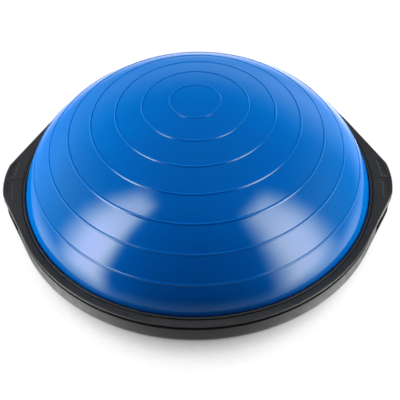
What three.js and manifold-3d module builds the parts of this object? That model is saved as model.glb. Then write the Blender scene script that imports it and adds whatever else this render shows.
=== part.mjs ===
// Balance dome trainer: an air-filled PVC dome clamped into a round plastic base with two hand grips.
// Millimetres, +Z up. The origin is on the floor under the middle of the base. The grips are on the
// X axis, the dome's air valve is at the back (+Y).
import * as THREE from 'three';
import { mergeVertices } from 'three/addons/utils/BufferGeometryUtils.js';
import Module from 'manifold-3d';

const wasm = await Module();
wasm.setup();

// ---- driving dimensions ----
const SPAN = 635; // overall width across the two hand grips
const GAP = 0.3; // clearance between pieces that touch
const GRIP_NORMAL = THREE.MathUtils.degToRad(26.7); // where a grip's straight side leaves the round rim
const GRIP_END_RADIUS = 160; // gentle curve of a grip's outer end
const GRIP_CORNER_RADIUS = 22;

// platform (lower moulding)
const FOOT_HEIGHT = 3;
const DECK_THICKNESS = 4;
const DECK_Z = FOOT_HEIGHT; // flat underside, which is stood on when the trainer is turned over
const WALL_RADIUS = 296;
const WALL_EDGE = 0.8; // size of the rounding at the wall's top and bottom edges
const SEAT_Z = 26.5; // face that the clamp ring is screwed down on
const PLATFORM_GRIP_TIP = SPAN / 2 - 3;
const WELL_RADIUS = 272; // inside of the platform's thick rim
const BLOCK_INNER = 262; // the thick rim is swept from here out, and a disc fills the middle
const RIB_THICKNESS = 3;
const RIB_COUNT = 8;
const RING_RIB_RADII = [90, 180];
const GRIP_RECESS_ANGLE = THREE.MathUtils.degToRad(19.5); // half the sweep of a finger recess
const GRIP_RECESS_INNER = 293;
const GRIP_SHELF_TOP = DECK_Z + DECK_THICKNESS;

// clamp ring (upper moulding, in two halves)
const RING_INNER = 279.4;
const RING_OUTER = 296;
const RING_LIP_TOP = 36;
const RING_LIP_WIDTH = 3.8; // the raised lip next to the dome
const RING_LIP_BEVEL = 1;
const RING_GROOVE_Z = 33.6;
const RING_GROOVE_START = 4.3; // the groove's floor, counted out from the ring's inner edge
const RING_GROOVE_END = 5.8;
const RING_BAND_START = 6.2;
const RING_BAND_TOP = 34.8;
const RING_BAND_EDGE = 1.4; // size of the rounding at the band's outer edge
const RING_SEAT_Z = SEAT_Z + GAP;
const RING_BODY_OUTER = 291; // floor of the shadow gap, and inner side of the hollow under each grip
const RING_CEILING = 32.4; // underside of the top plate outside the ring's body
const RING_RIM_BOTTOM = 32.2; // bottom of the outer lip round the rim, above an open shadow gap
const RING_RECESS_BOTTOM = 27.2; // its bottom at the ends of the finger recesses
const RING_GRIP_BOTTOM = 20.8; // its bottom along the hand grips
const RING_GRIP_TIP = SPAN / 2;
const RING_LIP_THICKNESS = 3; // thickness of the turned-down outer lip
const LIP_DROP_START = THREE.MathUtils.degToRad(13); // the lip climbs between these angles from the X axis
const LIP_DROP_END = THREE.MathUtils.degToRad(18.9);
const LIP_RISE_END = THREE.MathUtils.degToRad(33);
const BEAD_OUTER = 283.3; // outer edge of the dome's clamped rim bead
const BEAD_POCKET = 284.2; // wall of the pocket that the bead sits in
const BEAD_TOP = 31;
const SEAM_HALF_ANGLE = THREE.MathUtils.degToRad(0.03); // half the gap between the two half rings

// dome (bladder)
const DOME_HEIGHT = 201.3;
const DOME_WALL = 3;
const DOME_FLOOR_Z = SEAT_Z + GAP;
const CROWN_RADIUS = 362; // the dome's outline is three arcs that run smoothly into each other
const CROWN_END = THREE.MathUtils.degToRad(28.4);
const SHOULDER_RADIUS = 260.5;
const SHOULDER_END = THREE.MathUtils.degToRad(52.6);
const RIM_RADIUS = 122.5;
const DOME_RIM_Z = 36; // where the dome goes down behind the clamp ring
const VALVE_TILT = THREE.MathUtils.degToRad(20); // the valve's axis rises this much, square to the skin
const VALVE_BOSS_RADIUS = 10;
const VALVE_HOLE_RADIUS = 4.5;
const VALVE_BOSS_DEPTH = 14; // how far the boss reaches in from the dome's surface
const VALVE_PAD = 0.8; // the boss's flat face stands this far out

// valve plug
const PLUG_HEAD_RADIUS = 7.5;
const PLUG_HEAD_THICKNESS = 2.4;
const PLUG_STEM_LENGTH = 18;
const PLUG_TIP_RADIUS = 3.2;
const PLUG_HEAD_BEVEL = 1;

// clamp screws
const SCREW_COUNT = 16;
const SCREW_CIRCLE = 286.6;
const SCREW_RADIUS = 2;
const SCREW_HEAD_RADIUS = 3.8;
const SCREW_HEAD_THICKNESS = 2.6;
const SCREW_WELL_RADIUS = 4.4;
const SCREW_WELL_TOP = 19;
const SCREW_TIP_Z = 31.8;
const SCREW_TIP_LENGTH = 3;
const SCREW_HEAD_BEVEL = 1;

// rubber feet
const FOOT_COUNT = 8;
const FOOT_CIRCLE = 250;
const FOOT_RADIUS = 15;
const FOOT_STEM_RADIUS = 5;
const FOOT_STEM_TOP = 10;
const FOOT_BEVEL = 1;
const SOCKET_WALL = 3; // wall of the socket round a foot's stem
const SOCKET_CAP = 2;

// how finely round surfaces are divided
const DOME_SEGMENTS = 64;
const DOME_INSIDE_SEGMENTS = 32;
const DISC_SEGMENTS = 48;
const RING_RIB_SEGMENTS = 32;
const BOSS_SEGMENTS = 16;
const SMALL_SEGMENTS = 12;
const STEM_SEGMENTS = 10;
const SHANK_SEGMENTS = 8;
const RECESS_STEPS = 8;

// ---- materials ----
const plastic = (color, roughness) => new THREE.MeshStandardMaterial({ color, roughness, metalness: 0 });
const BLUE_PVC = plastic(0x0a62bf, 0.25);
const BLACK_PLASTIC = plastic(0x2c2c2c, 0.55);
const BLACK_RING = plastic(0x333333, 0.5);
const BLACK_RUBBER = plastic(0x1c1c1c, 0.85);
const VALVE_PLASTIC = plastic(0x0b3f80, 0.4);
const STEEL = new THREE.MeshStandardMaterial({ color: 0x9a9da0, roughness: 0.35, metalness: 1 });

// ---- solids ----
const WELD = 1e-4; // points closer than this are one point
const REACH = 5; // how far a cutter runs past the face it opens

const toSolid = (geometry) => {
  geometry.deleteAttribute('normal');
  geometry.deleteAttribute('uv');
  const merged = mergeVertices(geometry, WELD);
  return new wasm.Manifold(new wasm.Mesh({
    numProp: 3,
    vertProperties: new Float32Array(merged.attributes.position.array),
    triVerts: new Uint32Array(merged.index.array),
  }));
};

const toGeometry = (solid) => {
  const mesh = solid.getMesh();
  const geometry = new THREE.BufferGeometry();
  geometry.setAttribute('position', new THREE.BufferAttribute(new Float32Array(mesh.vertProperties), 3));
  geometry.setIndex(new THREE.BufferAttribute(new Uint32Array(mesh.triVerts), 1));
  geometry.computeVertexNormals();
  return geometry;
};

// A lathe about +Z. The profile is a list of [radius, z] going anticlockwise as seen with z up.
const turned = (profile, segments) => new THREE.LatheGeometry(
  profile.map(([radius, z]) => new THREE.Vector2(radius, z)), segments,
).rotateX(Math.PI / 2);

const cylinder = (radius, low, high, segments) => turned(
  [[0, low], [radius, low], [radius, high], [0, high]], segments,
);

const at = (solid, radius, angle) => solid.translate([radius * Math.cos(angle), radius * Math.sin(angle), 0]);

// `count` evenly spaced values from `from` up to, but not including, `to`.
const steps = (from, to, count) => Array.from({ length: count }, (_, i) => from + ((to - from) * i) / count);

const evenAngles = (count, offset = 0) => steps(offset, offset + 2 * Math.PI, count);

// The angle from the nearer half of the X axis, so that both grips and both their sides match.
const foldedAngle = (angle) => Math.abs(Math.asin(Math.sin(angle)));

// Removes `cutters` from `solid` in one step.
const cut = (solid, cutters) => solid.subtract(wasm.Manifold.union(cutters));

// ---- plan outline with two hand grips ----
// A round rim with a grip at each side: a straight line leaves the rim as its tangent, turns a small
// corner and runs into the gently curved end of the grip.
const gripOutline = (rimRadius, tipX) => {
  const endCentre = tipX - GRIP_END_RADIUS;
  const [nx, ny] = [Math.cos(GRIP_NORMAL), Math.sin(GRIP_NORMAL)];
  // The corner's arc touches the straight side and the end curve from their inside.
  const toLine = rimRadius - GRIP_CORNER_RADIUS;
  const toEnd = GRIP_END_RADIUS - GRIP_CORNER_RADIUS;
  const along = toLine - endCentre * nx;
  const across = Math.sqrt(toEnd ** 2 - along ** 2);
  const corner = new THREE.Vector2(endCentre + along * nx + across * ny, along * ny - across * nx);
  const lineEnd = corner.clone().add(new THREE.Vector2(nx, ny).multiplyScalar(GRIP_CORNER_RADIUS));
  const outward = new THREE.Vector2(corner.x - endCentre, corner.y).normalize();
  const endStart = corner.clone().add(outward.clone().multiplyScalar(GRIP_CORNER_RADIUS));
  const rayToCircle = (angle, centre, radius) => {
    const ray = new THREE.Vector2(Math.cos(angle), Math.sin(angle));
    const near = ray.dot(centre);
    return near + Math.sqrt(radius ** 2 - centre.lengthSq() + near ** 2);
  };
  const lineAngle = lineEnd.angle();
  const endAngle = endStart.angle();
  // Distance from the Z axis to the outline at any angle.
  const radiusAt = (angle) => {
    const folded = foldedAngle(angle);
    if (folded >= GRIP_NORMAL) return rimRadius;
    if (folded >= lineAngle) return rimRadius / Math.cos(GRIP_NORMAL - folded);
    if (folded >= endAngle) return rayToCircle(folded, corner, GRIP_CORNER_RADIUS);
    return rayToCircle(folded, new THREE.Vector2(endCentre, 0), GRIP_END_RADIUS);
  };
  // Quarter-turn angles at which the outline needs a point: few on the straight, more on the bends.
  const quarter = [
    ...steps(0, endAngle, 2),
    ...steps(endAngle, lineAngle, 3),
    ...steps(lineAngle, GRIP_RECESS_ANGLE, 3),
    ...steps(GRIP_RECESS_ANGLE, GRIP_NORMAL, 1),
    ...steps(GRIP_NORMAL, Math.PI / 2, 9),
    Math.PI / 2,
  ];
  return { radiusAt, quarter };
};

// Half way round, and all the way round without repeats, from quarter angles.
const halfTurn = (quarter) => [...quarter, ...quarter.slice(0, -1).reverse().map((a) => Math.PI - a)];

const fullTurn = (quarter) => [
  ...halfTurn(quarter),
  ...halfTurn(quarter).slice(1, -1).map((a) => a + Math.PI),
];

// Joins sections [radius, z], one per angle, into a closed skin. A full turn closes on itself and an
// open run gets flat ends. Sections go anticlockwise as seen with z up.
const swept = (angles, sectionAt, closed) => {
  const sections = angles.map(sectionAt);
  const count = sections[0].length;
  const positions = sections.flatMap((section, i) => section.flatMap(([radius, z]) => (
    [radius * Math.cos(angles[i]), radius * Math.sin(angles[i]), z]
  )));
  const triangles = [];
  const runs = closed ? angles.length : angles.length - 1;
  for (let i = 0; i < runs; i += 1) {
    const [here, next] = [i * count, ((i + 1) % angles.length) * count];
    for (let j = 0; j < count; j += 1) {
      const k = (j + 1) % count;
      triangles.push(here + j, next + j, next + k, here + j, next + k, here + k);
    }
  }
  if (!closed) {
    const cap = (section) => THREE.ShapeUtils.triangulateShape(
      section.map(([r, z]) => new THREE.Vector2(r, z)), [],
    );
    const last = (angles.length - 1) * count;
    cap(sections[0]).forEach(([a, b, c]) => triangles.push(a, b, c));
    cap(sections[angles.length - 1]).forEach(([a, b, c]) => triangles.push(last + a, last + c, last + b));
  }
  const geometry = new THREE.BufferGeometry();
  geometry.setAttribute('position', new THREE.BufferAttribute(new Float32Array(positions), 3));
  geometry.setIndex(triangles);
  return geometry;
};

// ---- dome ----
// Centres of the three arcs, as [radius, z]. Angles are counted from straight up.
const moved = ([r, z], distance, angle) => [r + distance * Math.sin(angle), z + distance * Math.cos(angle)];
const crown = [0, DOME_HEIGHT - CROWN_RADIUS];
const shoulder = moved(crown, CROWN_RADIUS - SHOULDER_RADIUS, CROWN_END);
const rim = moved(shoulder, SHOULDER_RADIUS - RIM_RADIUS, SHOULDER_END);

// Points on the dome's outline, `inset` inside its outer skin, from the crown down to `lowZ`.
const domeProfile = (inset, lowZ) => {
  const rimEnd = Math.acos((lowZ - rim[1]) / (RIM_RADIUS - inset));
  const arc = (centre, radius, from, to, count) => steps(from, to, count)
    .map((angle) => moved(centre, radius - inset, angle));
  return [
    ...arc(crown, CROWN_RADIUS, 0, CROWN_END, 4),
    ...arc(shoulder, SHOULDER_RADIUS, CROWN_END, SHOULDER_END, 4),
    ...arc(rim, RIM_RADIUS, SHOULDER_END, rimEnd, 3),
    moved(rim, RIM_RADIUS - inset, rimEnd),
  ];
};

const domeRadiusAt = (z) => rim[0] + Math.sqrt(RIM_RADIUS ** 2 - (z - rim[1]) ** 2);

// The middle of the valve's flat face, on the dome's skin at the back, and the turn that lays +Z along
// its axis.
const [valveY, valveZ] = moved(rim, RIM_RADIUS + VALVE_PAD, Math.PI / 2 - VALVE_TILT);
const VALVE_TURN = VALVE_TILT - Math.PI / 2;

// A cylinder on the valve's axis, between two distances out from the valve's face.
const valveCylinder = (radius, near, far, segments) => toSolid(
  cylinder(radius, near, far, segments).rotateX(VALVE_TURN).translate(0, valveY, valveZ),
);

const makeDome = () => {
  const beadInner = domeRadiusAt(DOME_RIM_Z) - GAP;
  const beadStep = [[BEAD_OUTER, DOME_FLOOR_Z], [BEAD_OUTER, BEAD_TOP], [beadInner, BEAD_TOP]];
  const outside = [[0, DOME_FLOOR_Z], ...beadStep, ...domeProfile(0, DOME_RIM_Z).reverse()];
  const insideFloor = DOME_FLOOR_Z + DOME_WALL;
  const inside = [[0, insideFloor], ...domeProfile(DOME_WALL, insideFloor).reverse()];
  const boss = valveCylinder(VALVE_BOSS_RADIUS, -VALVE_BOSS_DEPTH, 0, BOSS_SEGMENTS);
  const hole = valveCylinder(VALVE_HOLE_RADIUS, -VALVE_BOSS_DEPTH - REACH, REACH, SMALL_SEGMENTS);
  const air = toSolid(turned(inside, DOME_INSIDE_SEGMENTS));
  const shell = toSolid(turned(outside, DOME_SEGMENTS)).subtract(air);
  return toGeometry(shell.add(boss).subtract(hole));
};

const makePlug = () => toGeometry(toSolid(turned([
  [0, -PLUG_STEM_LENGTH],
  [PLUG_TIP_RADIUS, -PLUG_STEM_LENGTH],
  [VALVE_HOLE_RADIUS - GAP, -PLUG_STEM_LENGTH / 2],
  [VALVE_HOLE_RADIUS - GAP, 0],
  [PLUG_HEAD_RADIUS, 0],
  [PLUG_HEAD_RADIUS, PLUG_HEAD_THICKNESS - PLUG_HEAD_BEVEL],
  [PLUG_HEAD_RADIUS - PLUG_HEAD_BEVEL, PLUG_HEAD_THICKNESS],
  [0, PLUG_HEAD_THICKNESS],
], SMALL_SEGMENTS)));

// ---- clamp ring halves ----
const SCREW_ANGLES = evenAngles(SCREW_COUNT, Math.PI / SCREW_COUNT);
const ringOutline = gripOutline(RING_OUTER, RING_GRIP_TIP);

// Bottom of the outer lip: high round the rim, a little lower at the ends of the finger recesses, and
// lowest along the grips.
const ringLipBottom = (angle) => {
  const { lerp, smoothstep } = THREE.MathUtils;
  const folded = foldedAngle(angle);
  const climb = smoothstep(folded, LIP_DROP_START, LIP_DROP_END);
  const rise = smoothstep(folded, LIP_DROP_END, LIP_RISE_END);
  return lerp(lerp(RING_GRIP_BOTTOM, RING_RECESS_BOTTOM, climb), RING_RIM_BOTTOM, rise);
};

// Pocket for the dome's bead, seat on the platform, shadow gap or grip hollow, outer lip, flat band,
// groove, and the raised lip next to the dome.
const ringSection = (angle) => {
  const outer = ringOutline.radiusAt(angle);
  const lipBottom = ringLipBottom(angle);
  const pocketTop = BEAD_TOP + GAP;
  return [
    [RING_INNER, pocketTop],
    [BEAD_POCKET, pocketTop],
    [BEAD_POCKET, RING_SEAT_Z],
    [RING_BODY_OUTER, RING_SEAT_Z],
    [RING_BODY_OUTER, RING_CEILING],
    [outer - RING_LIP_THICKNESS, RING_CEILING],
    [outer - RING_LIP_THICKNESS, lipBottom],
    [outer, lipBottom],
    [outer, RING_BAND_TOP - RING_BAND_EDGE],
    [outer - RING_BAND_EDGE, RING_BAND_TOP],
    [RING_INNER + RING_BAND_START, RING_BAND_TOP],
    [RING_INNER + RING_GROOVE_END, RING_GROOVE_Z],
    [RING_INNER + RING_GROOVE_START, RING_GROOVE_Z],
    [RING_INNER + RING_LIP_WIDTH, RING_LIP_TOP],
    [RING_INNER + RING_LIP_BEVEL, RING_LIP_TOP],
    [RING_INNER, RING_LIP_TOP - RING_LIP_BEVEL],
  ];
};

const makeHalfRing = (startAngle) => {
  const half = halfTurn(ringOutline.quarter);
  half[0] = SEAM_HALF_ANGLE;
  half[half.length - 1] = Math.PI - SEAM_HALF_ANGLE;
  const angles = half.map((a) => a + startAngle);
  const body = toSolid(swept(angles, ringSection, false));
  const pilot = toSolid(cylinder(SCREW_RADIUS + GAP, 0, SCREW_TIP_Z + GAP, SHANK_SEGMENTS));
  return toGeometry(cut(body, SCREW_ANGLES.map((angle) => at(pilot, SCREW_CIRCLE, angle))));
};

// ---- platform ----
const FOOT_ANGLES = evenAngles(FOOT_COUNT, Math.PI / FOOT_COUNT);
const platformOutline = gripOutline(WALL_RADIUS, PLATFORM_GRIP_TIP);

const platformSection = (angle) => {
  const outer = platformOutline.radiusAt(angle);
  return [
    [BLOCK_INNER, DECK_Z],
    [outer - WALL_EDGE, DECK_Z],
    [outer, DECK_Z + WALL_EDGE],
    [outer, SEAT_Z - WALL_EDGE],
    [outer - WALL_EDGE, SEAT_Z],
    [BLOCK_INNER, SEAT_Z],
  ];
};

const platformBlock = () => {
  const disc = cylinder(BLOCK_INNER + 1, DECK_Z, SEAT_Z, DISC_SEGMENTS);
  return toSolid(swept(fullTurn(platformOutline.quarter), platformSection, true)).add(toSolid(disc));
};

// The air space above the deck, less the ribs that carry the dome's floor and the feet's sockets.
const platformWell = () => {
  const top = SEAT_Z + REACH;
  const well = toSolid(cylinder(WELL_RADIUS, GRIP_SHELF_TOP, top, DISC_SEGMENTS));
  const radialRib = toSolid(new THREE.BoxGeometry(2 * (WELL_RADIUS + REACH), RIB_THICKNESS, 2 * top));
  const radial = evenAngles(RIB_COUNT).slice(0, RIB_COUNT / 2)
    .map((angle) => radialRib.rotate([0, 0, THREE.MathUtils.radToDeg(angle)]));
  const rings = RING_RIB_RADII.map((radius) => toSolid(turned([
    [radius, 0], [radius + RIB_THICKNESS, 0], [radius + RIB_THICKNESS, top], [radius, top], [radius, 0],
  ], RING_RIB_SEGMENTS)));
  const socketTop = FOOT_STEM_TOP + GAP + SOCKET_CAP;
  const socket = toSolid(cylinder(FOOT_STEM_RADIUS + SOCKET_WALL, 0, socketTop, STEM_SEGMENTS));
  const sockets = FOOT_ANGLES.map((angle) => at(socket, FOOT_CIRCLE, angle));
  return cut(well, [...radial, ...rings, ...sockets]);
};

// The finger recess under a grip: everything outside the rim's body, above the shelf.
const fingerRecess = (side) => {
  const middle = side > 0 ? 0 : Math.PI;
  const sweep = steps(-GRIP_RECESS_ANGLE, GRIP_RECESS_ANGLE, RECESS_STEPS);
  const angles = [...sweep, GRIP_RECESS_ANGLE].map((angle) => middle + angle);
  const section = () => [
    [GRIP_RECESS_INNER, GRIP_SHELF_TOP],
    [SPAN, GRIP_SHELF_TOP],
    [SPAN, SEAT_Z + REACH],
    [GRIP_RECESS_INNER, SEAT_Z + REACH],
  ];
  return toSolid(swept(angles, section, false));
};

const makePlatform = () => {
  const well = toSolid(cylinder(SCREW_WELL_RADIUS, 0, SCREW_WELL_TOP, STEM_SEGMENTS));
  const shank = toSolid(cylinder(SCREW_RADIUS + GAP, 0, SEAT_Z + REACH, SHANK_SEGMENTS));
  const stem = toSolid(cylinder(FOOT_STEM_RADIUS + GAP, 0, FOOT_STEM_TOP + GAP, STEM_SEGMENTS));
  return toGeometry(cut(platformBlock(), [
    platformWell(),
    fingerRecess(1),
    fingerRecess(-1),
    ...SCREW_ANGLES.map((angle) => at(well, SCREW_CIRCLE, angle)),
    ...SCREW_ANGLES.map((angle) => at(shank, SCREW_CIRCLE, angle)),
    ...FOOT_ANGLES.map((angle) => at(stem, FOOT_CIRCLE, angle)),
  ]));
};

// ---- screws and feet ----
const SCREW_HEAD_TOP = SCREW_WELL_TOP - GAP;
const screwGeometry = toGeometry(toSolid(turned([
  [0, SCREW_HEAD_TOP - SCREW_HEAD_THICKNESS],
  [SCREW_HEAD_RADIUS - SCREW_HEAD_BEVEL, SCREW_HEAD_TOP - SCREW_HEAD_THICKNESS],
  [SCREW_HEAD_RADIUS, SCREW_HEAD_TOP],
  [SCREW_RADIUS, SCREW_HEAD_TOP],
  [SCREW_RADIUS, SCREW_TIP_Z - SCREW_TIP_LENGTH],
  [0, SCREW_TIP_Z],
], SHANK_SEGMENTS)));

const footGeometry = toGeometry(toSolid(turned([
  [0, 0],
  [FOOT_RADIUS - FOOT_BEVEL, 0],
  [FOOT_RADIUS, FOOT_BEVEL],
  [FOOT_RADIUS, FOOT_HEIGHT - GAP],
  [FOOT_STEM_RADIUS, FOOT_HEIGHT - GAP],
  [FOOT_STEM_RADIUS, FOOT_STEM_TOP],
  [0, FOOT_STEM_TOP],
], SMALL_SEGMENTS)));

// ---- assembly ----
const model = new THREE.Group();

const place = (name, geometry, material, position = [0, 0, 0], turn = 0) => {
  const mesh = new THREE.Mesh(geometry, material);
  mesh.name = name;
  mesh.position.set(...position);
  mesh.rotation.z = turn;
  model.add(mesh);
  return mesh;
};

const onCircle = (radius, angle) => [radius * Math.cos(angle), radius * Math.sin(angle), 0];
const numbered = (prefix, i, width) => `${prefix}_${String(i + 1).padStart(width, '0')}`;

place('platform', makePlatform(), BLACK_PLASTIC);
place('rear_clamp_ring', makeHalfRing(0), BLACK_RING);
place('front_clamp_ring', makeHalfRing(Math.PI), BLACK_RING);
place('dome_bladder', makeDome(), BLUE_PVC);
const [plugY, plugZ] = moved([valveY, valveZ], GAP, Math.PI / 2 - VALVE_TILT);
const plug = place('valve_plug', makePlug(), VALVE_PLASTIC, [0, plugY, plugZ]);
plug.rotation.x = VALVE_TURN;
SCREW_ANGLES.forEach((angle, i) => {
  place(numbered('clamp_screw', i, 2), screwGeometry, STEEL, onCircle(SCREW_CIRCLE, angle), angle);
});
FOOT_ANGLES.forEach((angle, i) => {
  place(numbered('foot', i, 1), footGeometry, BLACK_RUBBER, onCircle(FOOT_CIRCLE, angle), angle);
});

export default model;
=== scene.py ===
"""Balance dome trainer: fine surfaces, materials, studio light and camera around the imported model.

The object stands on the floor at z = 0, with its grips on the X axis and its air valve at the back (+Y).
Blender works in metres. Sizes below are written in millimetres and turned into metres by MM.
"""

import math

import bmesh
import bpy
from mathutils import Matrix, Vector, noise


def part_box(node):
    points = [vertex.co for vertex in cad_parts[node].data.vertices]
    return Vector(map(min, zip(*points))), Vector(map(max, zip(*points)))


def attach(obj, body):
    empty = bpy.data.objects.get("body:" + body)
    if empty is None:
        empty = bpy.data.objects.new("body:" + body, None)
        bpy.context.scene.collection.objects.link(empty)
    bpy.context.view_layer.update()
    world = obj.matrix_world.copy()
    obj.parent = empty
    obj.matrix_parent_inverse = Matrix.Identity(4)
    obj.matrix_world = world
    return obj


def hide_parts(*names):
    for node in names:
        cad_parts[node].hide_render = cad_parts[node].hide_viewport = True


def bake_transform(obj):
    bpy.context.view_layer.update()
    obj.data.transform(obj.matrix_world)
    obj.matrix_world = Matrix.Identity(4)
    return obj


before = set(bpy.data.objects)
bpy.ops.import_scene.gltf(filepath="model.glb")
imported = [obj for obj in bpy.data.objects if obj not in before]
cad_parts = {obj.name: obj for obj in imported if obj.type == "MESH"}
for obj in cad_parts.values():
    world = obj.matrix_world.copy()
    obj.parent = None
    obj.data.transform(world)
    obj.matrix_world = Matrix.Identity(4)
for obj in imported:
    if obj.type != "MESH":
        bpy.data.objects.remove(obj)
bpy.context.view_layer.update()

MM = 0.001


def box_mm(node):
    """Lowest and highest corner of a CAD node, in millimetres."""
    low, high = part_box(node)
    return low / MM, high / MM


PLATFORM_LOW, PLATFORM_HIGH = box_mm("platform")
RING_LOW, RING_HIGH = box_mm("rear_clamp_ring")
DOME_LOW, DOME_HIGH = box_mm("dome_bladder")
FOOT_LOW, FOOT_HIGH = box_mm("foot_1")
SCREW_LOW, SCREW_HIGH = box_mm("clamp_screw_01")

GRIP_NORMAL = math.radians(26.7)  # where a grip's straight side leaves the round rim
GRIP_END_RADIUS = 160
GRIP_CORNER_RADIUS = 22
RECESS_ANGLE = math.radians(19.5)  # half the sweep of a finger recess
RECESS_INNER = 293
GAP = 0.3  # clearance between pieces that touch


# ---------------------------------------------------------------- helpers: numbers and outlines

def lerp(a, b, t):
    """a at t = 0, b at t = 1."""
    return a + (b - a) * t


def smooth(value, low, high):
    """0 at low, 1 at high, with a soft start and end."""
    t = min(1.0, max(0.0, (value - low) / (high - low)))
    return t * t * (3 - 2 * t)


def steps(start, end, count):
    """count evenly spaced values from start up to, but not including, end."""
    return [lerp(start, end, i / count) for i in range(count)]


def polar(radius, angle, z=0.0):
    """A point at a radius and an angle round the Z axis."""
    return Vector((radius * math.cos(angle), radius * math.sin(angle), z))


def folded(angle):
    """The angle from the nearer half of the X axis, so that both grips and both their sides match."""
    return abs(math.asin(math.sin(angle)))


def rounded(corners, segments=4):
    """An outline with filleted corners, each given as (r, z, fillet radius). Radius 0 stays sharp."""
    points = []
    count = len(corners)
    for i, (r, z, fillet) in enumerate(corners):
        here = Vector((r, z))
        if fillet <= 0:
            points.append((r, z))
            continue
        before = Vector(corners[i - 1][:2]) - here
        after = Vector(corners[(i + 1) % count][:2]) - here
        half = before.angle(after) / 2
        reach = min(fillet / math.tan(half), 0.48 * before.length, 0.48 * after.length)
        start = here + before.normalized() * reach
        end = here + after.normalized() * reach
        for k in range(segments + 1):
            t = k / segments
            points.append(tuple(start * (1 - t) ** 2 + here * 2 * t * (1 - t) + end * t * t))
    return points


class GripOutline:
    """Plan outline of a round rim with a grip at each side. A straight side leaves the rim as its tangent,
    turns a corner and runs into the grip's gently curved end."""

    def __init__(self, rim, tip):
        self.rim = rim
        self.end_centre = Vector((tip - GRIP_END_RADIUS, 0))
        normal = Vector((math.cos(GRIP_NORMAL), math.sin(GRIP_NORMAL)))
        tangent = Vector((normal.y, -normal.x))
        along = rim - GRIP_CORNER_RADIUS - self.end_centre.x * normal.x
        across = math.sqrt((GRIP_END_RADIUS - GRIP_CORNER_RADIUS) ** 2 - along ** 2)
        self.corner = self.end_centre + normal * along + tangent * across
        side_end = self.corner + normal * GRIP_CORNER_RADIUS
        end_start = self.corner + (self.corner - self.end_centre).normalized() * GRIP_CORNER_RADIUS
        self.side_angle = math.atan2(side_end.y, side_end.x)
        self.end_angle = math.atan2(end_start.y, end_start.x)

    def radius(self, angle):
        """Distance from the Z axis to the outline."""
        a = folded(angle)
        if a >= GRIP_NORMAL:
            return self.rim
        if a >= self.side_angle:
            return self.rim / math.cos(GRIP_NORMAL - a)
        if a >= self.end_angle:
            return self.to_circle(a, self.corner, GRIP_CORNER_RADIUS)
        return self.to_circle(a, self.end_centre, GRIP_END_RADIUS)

    @staticmethod
    def to_circle(angle, centre, radius):
        """Distance from the Z axis to the far side of a circle."""
        near = centre.x * math.cos(angle) + centre.y * math.sin(angle)
        return near + math.sqrt(radius ** 2 - centre.length_squared + near ** 2)


def sweep_angles(start, end, fine, coarse):
    """Angles from start to end, closer together beside the grips than round the rest of the rim."""
    angles = [start]
    while angles[-1] < end - 1e-9:
        near_grip = folded(angles[-1]) < GRIP_NORMAL + math.radians(1)
        angles.append(min(end, angles[-1] + math.radians(fine if near_grip else coarse)))
    return angles


# ---------------------------------------------------------------- helpers: meshes

WELD = 0.015  # points closer than this are one point
TINY_EDGE = 0.002  # edges shorter than this are removed


def finish_mesh(bm, name, sharp_degrees=35):
    """Turns a bmesh into a clean object with smooth faces, and sharp edges where it bends hard."""
    bmesh.ops.remove_doubles(bm, verts=bm.verts, dist=WELD * MM)
    bmesh.ops.dissolve_degenerate(bm, edges=bm.edges, dist=TINY_EDGE * MM)
    bmesh.ops.recalc_face_normals(bm, faces=bm.faces)
    mesh = bpy.data.meshes.new(name)
    bm.to_mesh(mesh)
    bm.free()
    obj = bpy.data.objects.new(name, mesh)
    bpy.context.scene.collection.objects.link(obj)
    shade(obj, sharp_degrees)
    return obj


def shade(obj, sharp_degrees):
    """Smooth faces, with sharp edges where faces meet at more than sharp_degrees."""
    obj.data.shade_smooth()
    obj.data.set_sharp_from_angle(angle=math.radians(sharp_degrees))


def skin(bm, rows, closed_rows, closed_sections):
    """Faces between rows of vertices that hold the same number of points."""
    width = len(rows[0])
    for i in range(len(rows) if closed_rows else len(rows) - 1):
        here, after = rows[i], rows[(i + 1) % len(rows)]
        for j in range(width if closed_sections else width - 1):
            k = (j + 1) % width
            bm.faces.new((here[j], here[k], after[k], after[j]))


def swept(name, angles, section_at, full_turn, sharp_degrees=35):
    """A closed band: one closed section of (r, z) per angle, in millimetres."""
    bm = bmesh.new()
    rows = []
    for angle in angles:
        rows.append([bm.verts.new(polar(r, angle, z) * MM) for r, z in section_at(angle)])
    skin(bm, rows, full_turn, True)
    if not full_turn:
        bm.faces.new(rows[0])
        bm.faces.new(reversed(rows[-1]))
    return finish_mesh(bm, name, sharp_degrees)


def turned(name, profile, segments, sharp_degrees=35):
    """A lathe about +Z of a profile of (r, z) in millimetres that starts and ends on the axis."""
    bm = bmesh.new()
    low, high = profile[0], profile[-1]
    rows = []
    for i in range(segments):
        angle = 2 * math.pi * i / segments
        rows.append([bm.verts.new(polar(r, angle, z) * MM) for r, z in profile[1:-1]])
    skin(bm, rows, True, False)
    for (_, z), column in ((low, 0), (high, -1)):
        centre = bm.verts.new((0, 0, z * MM))
        for i in range(segments):
            bm.faces.new((centre, rows[i][column], rows[(i + 1) % segments][column]))
    return finish_mesh(bm, name, sharp_degrees)


def joined(objects, name):
    """One object from several, so that they can be combined with another in one step."""
    bm = bmesh.new()
    for obj in objects:
        copy = obj.data.copy()
        copy.transform(obj.matrix_world)
        bm.from_mesh(copy)
        bpy.data.meshes.remove(copy)
        bpy.data.objects.remove(obj)
    mesh = bpy.data.meshes.new(name)
    bm.to_mesh(mesh)
    bm.free()
    obj = bpy.data.objects.new(name, mesh)
    bpy.context.scene.collection.objects.link(obj)
    return obj


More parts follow.
